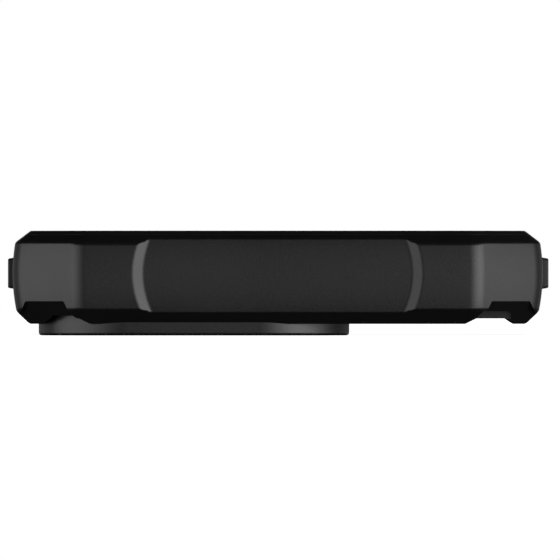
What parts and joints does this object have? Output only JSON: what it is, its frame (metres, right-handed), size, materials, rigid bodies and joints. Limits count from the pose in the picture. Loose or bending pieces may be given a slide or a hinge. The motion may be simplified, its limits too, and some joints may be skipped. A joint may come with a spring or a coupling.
{
  "type": "phone case",
  "caption": "Rugged two-layer phone case with faceted corners, a raised camera guard, side buttons, grips and an accessory magnet ring.",
  "frame": {"origin": "centre of the case in plan, on the outer face of the camera guard, the plane the case lies on", "axes": "+Z out of the open screen side, +Y along the case to the charging port end, +X to the side with the volume buttons"},
  "size_m": [0.082, 0.156, 0.0158],
  "materials": {
    "armor": "fine spark-eroded texture, black polycarbonate",
    "core": "satin black thermoplastic polyurethane",
    "guard": "smooth matte black polycarbonate",
    "panel": "matte dark grey, fine diagonal grain",
    "lining": "dark grey microfibre",
    "carrier": "natural polycarbonate",
    "magnet": "nickel plate",
    "cover": "black film",
    "damper": "matte foam rubber",
    "grip": "matte ribbed rubber",
    "pad": "matte rubber",
    "button": "fine spark-eroded texture, black polycarbonate"
  },
  "bodies": {
    "case": {"armor_shell": "armor", "core_liner": "core", "camera_guard": "guard", "back_panel": "panel", "floor_lining": "lining", "magnet_carrier": "carrier", "ring_magnets": "magnet", "magnet_cover": "cover", "alignment_magnet": "magnet", "corner_damper_top_left": "damper", "corner_damper_top_right": "damper", "corner_damper_bottom_left": "damper", "corner_damper_bottom_right": "damper", "side_grip_left": "grip", "side_grip_right": "grip", "skid_pad_top_right": "pad", "skid_pad_bottom_left": "pad", "skid_pad_bottom_right": "pad"},
    "power": {"power_button": "button"},
    "volume_up": {"volume_up_button": "button"},
    "volume_down": {"volume_down_button": "button"},
    "action": {"action_button": "button"}
  },
  "joints": [
    {"name": "power_press", "type": "slide", "parent": "case", "child": "power", "axis": [1, 0, 0], "range_m": [0, 0.0005], "stiffness_N_per_m": 1500, "springref_m": -0.0005},
    {"name": "volume_up_press", "type": "slide", "parent": "case", "child": "volume_up", "axis": [-1, 0, 0], "range_m": [0, 0.0005], "stiffness_N_per_m": 1500, "springref_m": -0.0005},
    {"name": "volume_down_press", "type": "slide", "parent": "case", "child": "volume_down", "axis": [-1, 0, 0], "range_m": [0, 0.0005], "stiffness_N_per_m": 1500, "springref_m": -0.0005},
    {"name": "action_press", "type": "slide", "parent": "case", "child": "action", "axis": [-1, 0, 0], "range_m": [0, 0.0005], "stiffness_N_per_m": 1500, "springref_m": -0.0005}
  ]
}
